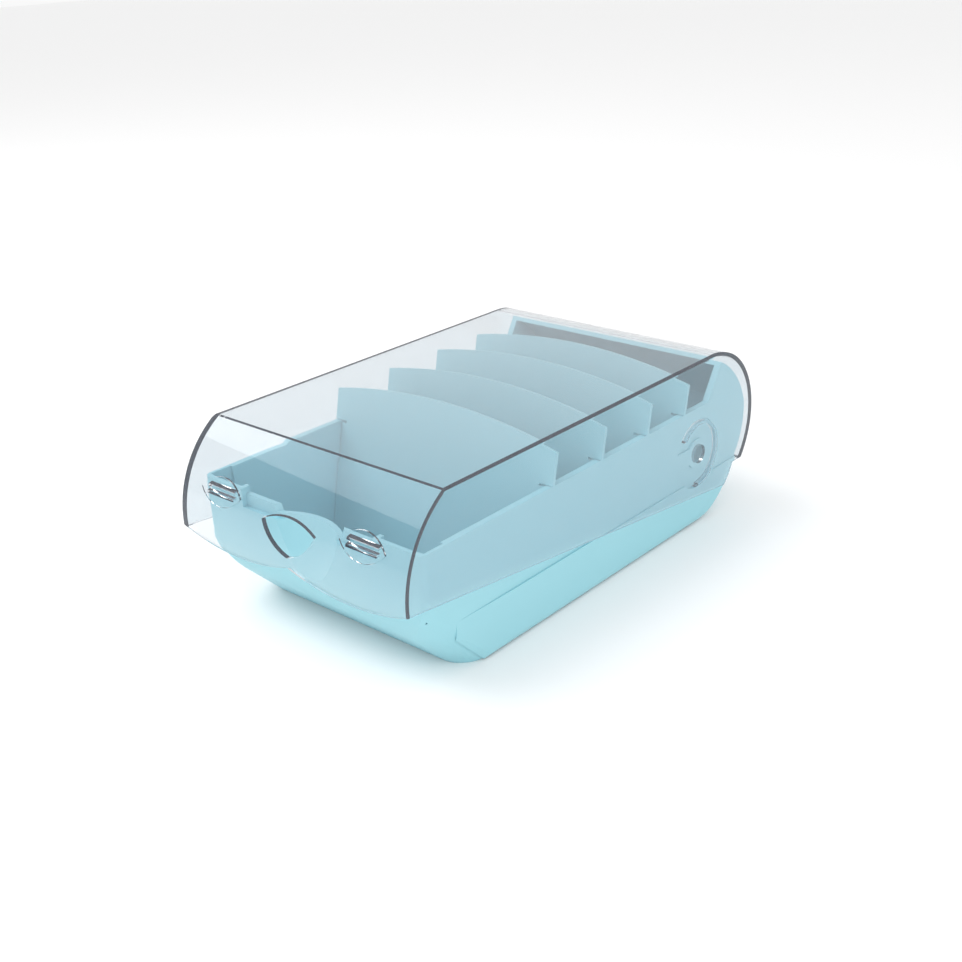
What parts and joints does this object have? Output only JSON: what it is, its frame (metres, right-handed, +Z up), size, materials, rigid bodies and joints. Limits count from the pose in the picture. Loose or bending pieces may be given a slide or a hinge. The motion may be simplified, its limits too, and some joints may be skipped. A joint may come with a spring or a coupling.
{
  "type": "index card file box",
  "caption": "Card file box: open tray with leaning loose dividers under a clear lid that swings up on side pins near the rear.",
  "frame": {"origin": "centre of the closed box's footprint, on the table it stands on", "axes": "+X to the right seen from the front, +Y from the front to the hinged rear, +Z up"},
  "size_m": [0.173, 0.321, 0.1115],
  "materials": {
    "tray": "opaque pale aqua polystyrene, satin gloss",
    "divider": "opaque pale aqua polystyrene, satin gloss",
    "lid": "clear polystyrene, polished"
  },
  "bodies": {
    "tray": {"tray": "tray"},
    "lid": {"lid": "lid"},
    "divider_1": {"divider_1": "divider"},
    "divider_2": {"divider_2": "divider"},
    "divider_3": {"divider_3": "divider"},
    "divider_4": {"divider_4": "divider"}
  },
  "joints": [
    {"name": "lid_hinge", "type": "hinge", "parent": "tray", "child": "lid", "pos_m": [0, 0.1007, 0.05], "axis": [-1, 0, 0], "range_deg": [0, 50]},
    {"name": "divider_1_slide", "type": "slide", "parent": "tray", "child": "divider_1", "axis": [0, 1, 0], "range_m": [-0.018, 0.018]},
    {"name": "divider_2_slide", "type": "slide", "parent": "tray", "child": "divider_2", "axis": [0, 1, 0], "range_m": [-0.018, 0.018]},
    {"name": "divider_3_slide", "type": "slide", "parent": "tray", "child": "divider_3", "axis": [0, 1, 0], "range_m": [-0.018, 0.018]},
    {"name": "divider_4_slide", "type": "slide", "parent": "tray", "child": "divider_4", "axis": [0, 1, 0], "range_m": [-0.016, 0.012]}
  ]
}
